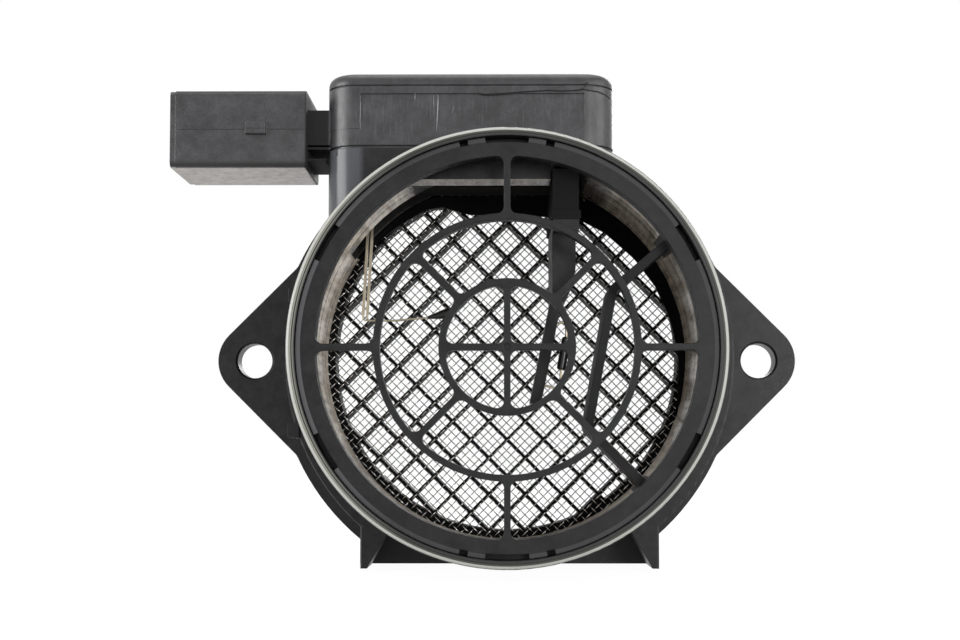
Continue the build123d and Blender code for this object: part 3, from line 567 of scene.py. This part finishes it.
def front_at(x):
    """Depth of the box's front at a place across it, round its right corner, in millimetres."""
    past = max(x - corner_start_x, 0.0)
    return box_front_y + box_corner_r - sqrt(box_corner_r ** 2 - past ** 2)


weld_film = banded_piece("weld_film", [
    [(x, front_at(x) - film_mm, z) for x, z in film_edge],
    [(x, front_at(x) - film_mm * film_top_share, film_top_z) for x, z in film_edge],
    [(x, front_at(x), z) for x, z in film_edge],
    [(x, front_at(x), film_top_z) for x, z in film_edge],
], sides=((0, 1), (1, 3), (2, 0)))
weld_film.data.materials.append(box_pbt)
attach(weld_film, "root")


# ------------------------------------------------------------------ painted shadow line and scuffs
# Painted shadow: a black line laid under the torn edge and along the one place where the film curls up.
# Scratches on the box's front, each with the pale burr that a scratch raises in plastic, and one pale strip
# that is a painted highlight along the left edge of the front's shallow recess.
def mottled_finish(name, first, second, patch_mm, roughness, detail=4.0, metallic=0.0):
    """Surface of two close tones in soft patches."""
    material, tree, place = blank_material(name)
    patches = add_node(tree, "TexNoise", {
        "Vector": place, "Scale": per_mm(patch_mm), "Detail": detail,
    }).outputs["Fac"]
    tone = add_node(
        tree, "Mix", {"Factor": patches, 6: srgb(first), 7: srgb(second)}, data_type="RGBA"
    ).outputs[2]
    shader = add_node(tree, "BsdfPrincipled", {
        "Base Color": tone, "Metallic": metallic, "Roughness": roughness,
    })
    add_node(tree, "OutputMaterial", {"Surface": shader.outputs[0]})
    return material


def sliver(name, path, width, proud, material):
    """Thin ridge along a path on the box's front, given as (x, z), narrowed at both ends."""
    end_share = 0.3
    final = len(path) - 1
    points = []
    faces = []
    for k, (x, z) in enumerate(path):
        ahead = path[min(k + 1, final)]
        back = path[max(k - 1, 0)]
        run_x = ahead[0] - back[0]
        run_z = ahead[1] - back[1]
        half = width / 2 * (end_share if k in (0, final) else 1) / hypot(run_x, run_z)
        side_x = -run_z * half
        side_z = run_x * half
        points.append((x + side_x, front_at(x + side_x), z + side_z))
        points.append((x, front_at(x) - proud, z))
        points.append((x - side_x, front_at(x - side_x), z - side_z))
    for a in range(0, 3 * final, 3):
        faces += [(a, a + 1, a + 4, a + 3), (a + 1, a + 2, a + 5, a + 4), (a + 2, a, a + 3, a + 5)]
    faces += [(2, 1, 0), (3 * final, 3 * final + 1, 3 * final + 2)]
    piece = mesh_piece(name, points, faces)
    piece.data.materials.append(material)
    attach(piece, "root")


shadow_line_finish = mottled_finish("painted_shadow_line", "#030303", "#0a0a0a", patch_mm=0.7, roughness=0.6, detail=3.0)
shadow_drop = 0.08
sliver("film_shadow", [(x, z - shadow_drop) for x, z in film_edge], 0.26, 0.05, shadow_line_finish)
sliver("film_curl", [(14.0, 51.95), (14.9, 52.1), (15.3, 52.7), (15.5, 53.3), (16.1, 53.5)], 0.2, 0.3, shadow_line_finish)
burr_and_highlight = mottled_finish("scuff_burr_and_highlight", "#4e4e50", "#8e8e90", patch_mm=0.7, roughness=0.6, detail=3.0)
for name, width, proud, path in (
    ("scuff_long", 0.2, 0.04, [(-13.45, 51.0), (-13.5, 49.5), (-13.62, 46.5), (-13.75, 43.8)]),
    ("scuff_short", 0.1, 0.04, [(-14.4, 51.1), (-14.35, 50.0), (-14.25, 47.0)]),
    # This strip is a painted highlight along the left edge of the front's shallow recess, not a scratch
    ("recess_edge_highlight", 0.09, 0.03, [(-28.72, 51.0), (-28.75, 48.5), (-28.8, 46.0), (-28.7, 44.1)]),
    ("scuff_tick", 0.12, 0.04, [(-18.0, 51.5), (-18.05, 50.6), (-18.0, 50.0)]),
    ("scuff_flat", 0.1, 0.03, [(-10.3, 48.8), (-10.5, 48.1), (-10.75, 47.3)]),
):
    sliver(name, path, width, proud, burr_and_highlight)

# ------------------------------------------------------------------ terminals, straps and leads
# Stamped brass blades with a matt tin plating, in the socket. The straps on the board, and the posts and
# leads in the duct, are thin nickel silver, a warm pale metal that welds easily.
tinned_brass = mottled_finish(
    "tinned_brass", "#a39d8c", "#c9c5b8", patch_mm=0.8, roughness=0.35, metallic=1.0
)
for number in (1, 2, 3):
    finish_node(f"terminal_{number}", tinned_brass)
nickel_silver = mottled_finish(
    "nickel_silver", "#a89d86", "#d6cbb4", patch_mm=0.8, roughness=0.34, metallic=1.0
)
for node in ("bond_straps", "film_leads", "sensor_posts", "thermistor_leads"):
    finish_node(node, nickel_silver)

# ------------------------------------------------------------------ board and what it carries
# Rolled aluminium base plate, green laminate, one moulded chip, bare ceramic capacitors and dark glazed
# resistors, all under the cover. The chip's black epoxy also coats the hot film and the temperature bulb.
aluminium = mottled_finish(
    "rolled_aluminium", "#9fa2a5", "#c4c6c8", patch_mm=0.8, roughness=0.4, metallic=1.0
)
finish_node("base_plate", aluminium)
laminate = mottled_finish("board_laminate", "#2f4a30", "#3d5a3a", patch_mm=1.5, roughness=0.4)
finish_node("circuit_board", laminate)
ceramic = mottled_finish("ceramic", "#9a8467", "#ad987a", patch_mm=0.8, roughness=0.5)
finish_node("capacitors", ceramic)
glaze = mottled_finish("resistor_glaze", "#1f2327", "#2b3035", patch_mm=0.6, roughness=0.3)
finish_node("resistors", glaze)
epoxy = mottled_finish("black_epoxy", "#0f0f10", "#1b1a1a", patch_mm=1.0, roughness=0.28)
for node in ("control_chip", "thermistor_bulb", "hot_film"):
    finish_node(node, epoxy)

# ------------------------------------------------------------------ sensor arm
# Thin blade of black PBT under the window plug, with a slanted bar that carries the hot film. Its root is
# painted black and dull as shade, close under the window where no light falls.
arm_pbt, tree, place, shader = moulded_plastic(
    "arm_pbt", "#131314", "#222224", satin=0.42, cloud_mm=4.0, gloss_level=0.17, corner_mm=0.1
)
root_from_z = 23.8
root_full_z = 24.4
height = add_node(tree, "SeparateXYZ", {0: place}).outputs["Z"]
arm_root_shade = add_node(tree, "MapRange", {
    "Value": height, "From Min": mm(root_from_z), "From Max": mm(root_full_z),
}).outputs[0]
repaint(tree, shader, arm_root_shade, srgb("#040404"), 0.8)
finish_node("sensor_arm", arm_pbt)

# ------------------------------------------------------------------ cover
# Lid of the same black PBT as the box, laser-welded to it all round, with a rounded upper edge. Its skin is
# a shade darker than the box's.
cover_pbt = moulded_plastic("cover_pbt", "#1d1d1f", "#2e2e30", satin=0.42, cloud_mm=3.0, gloss_level=0.36)[0]
finish_node("electronics_cover", cover_pbt)

# ------------------------------------------------------------------ outlet grille
# Clip-in guard in black PBT: a band and two rings on thin spokes, with soft corners from the tool. Round the
# band, the clip ring is painted paler towards the left, as painted light from that side.
grille_pbt, tree, place, shader = moulded_plastic(
    "grille_pbt", "#0f0f10", "#1b1b1c", satin=0.45, cloud_mm=3.0, gloss_level=0.17, corner_mm=0.3
)
clip_ring_r = (37.6, 39.0)
ring_lit_from_x = -20.0
ring_lit_full_x = -34.0
across = add_node(tree, "SeparateXYZ", {0: place}).outputs["X"]
ring_lit_share = add_node(tree, "MapRange", {
    "Value": across, "From Min": mm(ring_lit_from_x), "From Max": mm(ring_lit_full_x),
    "To Min": 0.3, "To Max": 0.9,
}).outputs[0]
clip_ring = within(tree, from_axis(tree, place), *clip_ring_r, 0.08)
repaint(tree, shader, overlap(tree, clip_ring, ring_lit_share), srgb("#515153"))
finish_node("outlet_grille", grille_pbt)

# ------------------------------------------------------------------ studio
# White paper floor in white surroundings, with soft lamps on every side and above. Floor and surroundings
# are white to the eye and in reflections, and light the sensor only at a plain level.
floor_half = 2500
floor_z = cad_box[0][2] * 1000 - 0.1
floor = mesh_piece("floor", [
    (-floor_half, -floor_half, floor_z), (floor_half, -floor_half, floor_z),
    (floor_half, floor_half, floor_z), (-floor_half, floor_half, floor_z),
], [(0, 1, 2, 3)])


def seen_share(tree):
    """1 for what the camera sees, directly, in a reflection or through something clear, else 0."""
    rays = add_node(tree, "LightPath").outputs
    seen = rays["Is Camera Ray"]
    for other in ("Is Glossy Ray", "Is Transmission Ray"):
        seen = add_node(tree, "Math", {0: seen, 1: rays[other]}, operation="MAXIMUM").outputs[0]
    return seen


paper = bpy.data.materials.new("white_paper")
paper.use_nodes = True
tree = paper.node_tree
tree.nodes.clear()
matt = add_node(tree, "BsdfDiffuse", {"Color": srgb("#e8e8e6")}).outputs[0]
faint = add_node(tree, "BsdfDiffuse", {"Color": srgb("#505050")}).outputs[0]
glow = add_node(tree, "Emission", {"Color": (1.0, 1.0, 1.0, 1.0), "Strength": 0.965}).outputs[0]
lifted = add_node(tree, "AddShader", {0: faint, 1: glow}).outputs[0]
surface = add_node(tree, "MixShader", {0: seen_share(tree), 1: matt, 2: lifted}).outputs[0]
add_node(tree, "OutputMaterial", {"Surface": surface})
floor.data.materials.append(paper)

world = bpy.data.worlds.new("studio")
bpy.context.scene.world = world
world.use_nodes = True
tree = world.node_tree
tree.nodes.clear()
strength = add_node(tree, "MapRange", {"Value": seen_share(tree), "To Min": 0.45, "To Max": 1.0}).outputs[0]
sky = add_node(tree, "Background", {"Color": (1.0, 1.0, 1.0, 1.0), "Strength": strength}).outputs[0]
add_node(tree, "OutputWorld", {"Surface": sky})


def soft_lamp(name, place, size, power):
    """Square soft box at a place in metres, facing the sensor."""
    middle = (0.0, -0.02, 0.0)
    data = bpy.data.lights.new(name, "AREA")
    data.shape = "SQUARE"
    data.size = size
    data.energy = power
    lamp = bpy.data.objects.new(name, data)
    lamp.location = place
    x, y, z = (place[i] - middle[i] for i in range(3))
    lamp.rotation_euler = (atan2(hypot(x, y), z), 0, atan2(x, -y))
    bpy.context.scene.collection.objects.link(lamp)


soft_lamp("left_box", (-0.86, -0.4, 0.06), size=0.6, power=13)
soft_lamp("right_box", (0.85, -0.4, 0.25), size=0.6, power=5)
soft_lamp("front_box", (0.42, -0.9, 0.12), size=0.3, power=3.6)
soft_lamp("back_box", (0.3, 0.85, 0.4), size=0.5, power=5)
soft_lamp("top_box", (0.0, 0.0, 0.95), size=0.8, power=5)

# ------------------------------------------------------------------ camera
# A quarter of a metre in front of the lip, a little below the duct's axis and looking slightly up. The shift
# is in pixels of an image 960 wide, and brings the sensor close to the image's middle.
image_width = 960
shift_right = -11.5
shift_up = 57
camera_place = (-1.227, -300.0, -18.233)
look_up = 2.875
look_left = 0.366
camera_data = bpy.data.cameras.new("camera")
camera_data.lens = 52.64
camera_data.sensor_width = 36.0
camera_data.shift_x = shift_right / image_width
camera_data.shift_y = shift_up / image_width
camera_data.clip_start = 0.01
camera = bpy.data.objects.new("camera", camera_data)
camera.location = [mm(c) for c in camera_place]
camera.rotation_euler = (radians(90 + look_up), 0, radians(look_left))
bpy.context.scene.collection.objects.link(camera)
bpy.context.scene.camera = camera
bpy.context.scene.view_settings.view_transform = "Standard"
